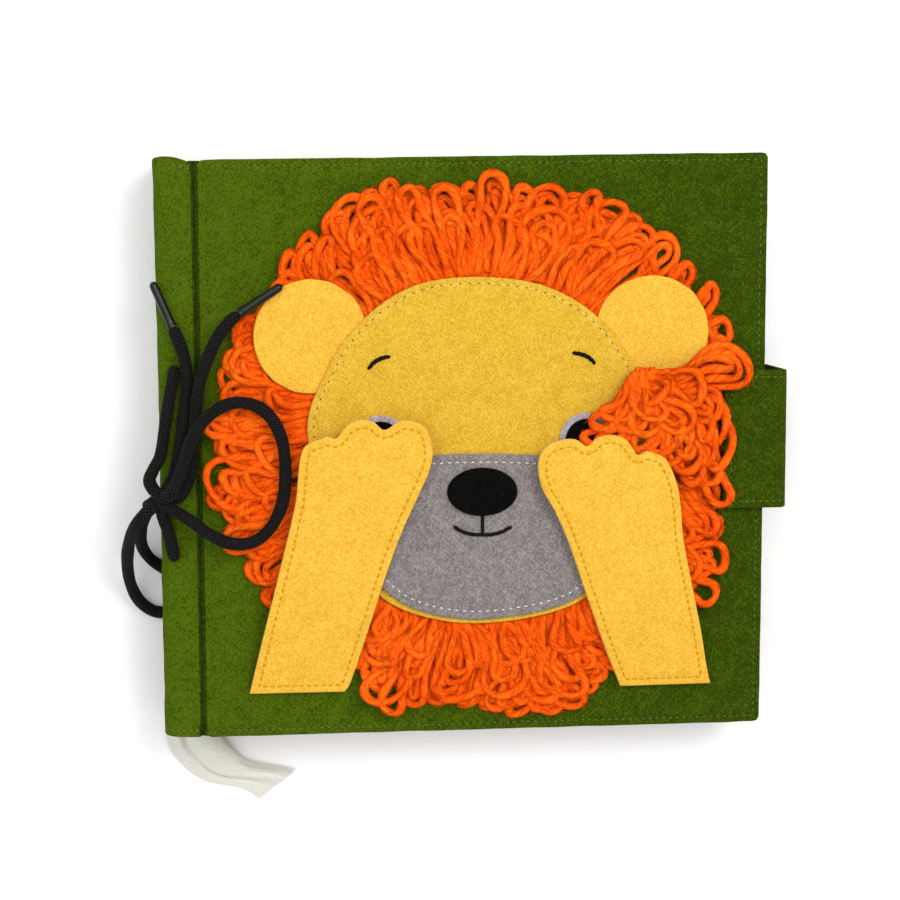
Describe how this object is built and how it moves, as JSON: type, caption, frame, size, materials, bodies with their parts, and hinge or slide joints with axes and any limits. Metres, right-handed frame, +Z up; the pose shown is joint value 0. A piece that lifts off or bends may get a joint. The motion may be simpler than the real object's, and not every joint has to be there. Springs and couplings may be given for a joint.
{
  "type": "quiet_book",
  "caption": "Felt quiet book with a lion on the front: a yarn mane, paws that fold down, a closing strap, padded leaves and a laced spine",
  "frame": {"origin": "centre of the back cover's underside, on which the closed book rests", "axes": "+X from the spine to the fore edge, +Y to the head of the book, +Z up through the leaves to the lion"},
  "size_m": [0.2684, 0.2638, 0.0516],
  "materials": {
    "cover_felt": "dense green craft felt",
    "stiffener_board": "hidden stiffener sheet",
    "margin_felt": "cream craft felt",
    "leaf_cream": "cream craft felt",
    "leaf_sky": "sky blue craft felt",
    "leaf_yellow": "yellow craft felt",
    "leaf_grey": "grey craft felt",
    "leaf_orange": "orange craft felt",
    "leaf_green": "green craft felt",
    "leaf_wadding": "white wadding inside a leaf",
    "mane_yarn": "loosely spun orange wool yarn in loops",
    "lion_felt": "yellow craft felt, stitched",
    "muzzle_grey_felt": "grey craft felt, stitched in white",
    "black_felt": "black felt",
    "black_thread": "black embroidery thread",
    "eye_pale_felt": "pale grey felt ring",
    "lace_cord": "black round braided lace",
    "aglet_film": "glossy black lace tip",
    "hook_tape": "black hook-and-loop tape",
    "label_satin": "white satin ribbon, left blank"
  },
  "bodies": {
    "book": {"back_cover_felt": "cover_felt", "back_cover_board": "stiffener_board", "back_cover_lining": "cover_felt", "spine_felt": "cover_felt", "leaf_1_margin": "margin_felt", "leaf_2_margin": "margin_felt", "leaf_3_margin": "margin_felt", "leaf_4_margin": "margin_felt", "strap_anchor": "cover_felt", "lace_run": "lace_cord", "lace_knot": "lace_cord", "lace_tail_left": "lace_cord", "aglet_left": "aglet_film", "lace_loop_left": "lace_cord", "care_label": "label_satin"},
    "front_cover": {"front_cover_felt": "cover_felt", "front_cover_board": "stiffener_board", "front_cover_lining": "cover_felt", "mane_left": "mane_yarn", "mane_top": "mane_yarn", "mane_right": "mane_yarn", "mane_bottom": "mane_yarn", "mane_lock": "mane_yarn", "face_felt": "lion_felt", "muzzle_felt": "muzzle_grey_felt", "nose_felt": "black_felt", "mouth_stitch": "black_thread", "ear_left": "lion_felt", "ear_right": "lion_felt", "eye_ring_left": "eye_pale_felt", "eye_ring_right": "eye_pale_felt", "pupil_left": "black_felt", "pupil_right": "black_felt", "brow_left": "black_thread", "brow_right": "black_thread", "strap_loops": "hook_tape"},
    "leaf_1": {"leaf_1_back": "leaf_cream", "leaf_1_core": "leaf_wadding", "leaf_1_front": "leaf_sky"},
    "leaf_2": {"leaf_2_back": "leaf_yellow", "leaf_2_core": "leaf_wadding", "leaf_2_front": "leaf_grey"},
    "leaf_3": {"leaf_3_back": "leaf_orange", "leaf_3_core": "leaf_wadding", "leaf_3_front": "leaf_cream"},
    "leaf_4": {"leaf_4_back": "leaf_green", "leaf_4_core": "leaf_wadding", "leaf_4_front": "leaf_sky"},
    "paw_left": {"paw_left_felt": "lion_felt", "paw_left_backing": "lion_felt"},
    "paw_right": {"paw_right_felt": "lion_felt", "paw_right_backing": "lion_felt"},
    "strap_wrap": {"strap_wrap": "cover_felt"},
    "strap_flap": {"strap_flap": "cover_felt", "strap_hooks": "hook_tape"},
    "bow_right": {"lace_loop_right": "lace_cord", "lace_tail_right": "lace_cord", "aglet_right": "aglet_film"}
  },
  "joints": [
    {"name": "front_cover_turn", "type": "hinge", "parent": "book", "child": "front_cover", "pos_m": [-0.1141, 0, 0.0376], "axis": [0, -1, 0], "range_deg": [0, 165], "deforming": ["mane_left", "strap_flap", "strap_hooks"]},
    {"name": "leaf_1_turn", "type": "hinge", "parent": "book", "child": "leaf_1", "pos_m": [-0.1141, 0, 0.0084], "axis": [0, -1, 0], "range_deg": [0, 11.15]},
    {"name": "leaf_2_turn", "type": "hinge", "parent": "book", "child": "leaf_2", "pos_m": [-0.1141, 0, 0.0144], "axis": [0, -1, 0], "range_deg": [0, 22.29]},
    {"name": "leaf_3_turn", "type": "hinge", "parent": "book", "child": "leaf_3", "pos_m": [-0.1141, 0, 0.0204], "axis": [0, -1, 0], "range_deg": [0, 33.42]},
    {"name": "leaf_4_turn", "type": "hinge", "parent": "book", "child": "leaf_4", "pos_m": [-0.1141, 0, 0.0264], "axis": [0, -1, 0], "range_deg": [0, 44.56]},
    {"name": "paw_left_fold", "type": "hinge", "parent": "front_cover", "child": "paw_left", "pos_m": [0, -0.0972, 0.037], "axis": [1, 0, 0], "range_deg": [0, 165]},
    {"name": "paw_right_fold", "type": "hinge", "parent": "front_cover", "child": "paw_right", "pos_m": [0, -0.098, 0.037], "axis": [1, 0, 0], "range_deg": [0, 165]},
    {"name": "strap_wrap_fold", "type": "hinge", "parent": "book", "child": "strap_wrap", "pos_m": [0.1214, 0, 0.00255], "axis": [0, 1, 0], "range_deg": [0, 88]},
    {"name": "strap_flap_fold", "type": "hinge", "parent": "strap_wrap", "child": "strap_flap", "pos_m": [0.1214, 0, 0.0381], "axis": [0, 1, 0], "range_deg": [0, 92]},
    {"name": "bow_right_fold", "type": "hinge", "parent": "book", "child": "bow_right", "pos_m": [-0.1293, -0.0184, 0.0391], "axis": [0, -1, 0], "range_deg": [0, 181.6], "deforming": ["lace_loop_right", "lace_tail_right", "aglet_right"]}
  ],
  "couplings": [
    {"joint": "leaf_4_turn", "follows": "front_cover_turn", "ratio": 0.27},
    {"joint": "leaf_3_turn", "follows": "front_cover_turn", "ratio": 0.2025},
    {"joint": "leaf_2_turn", "follows": "front_cover_turn", "ratio": 0.135},
    {"joint": "leaf_1_turn", "follows": "front_cover_turn", "ratio": 0.0675},
    {"joint": "bow_right_fold", "follows": "front_cover_turn", "ratio": 1.1}
  ]
}
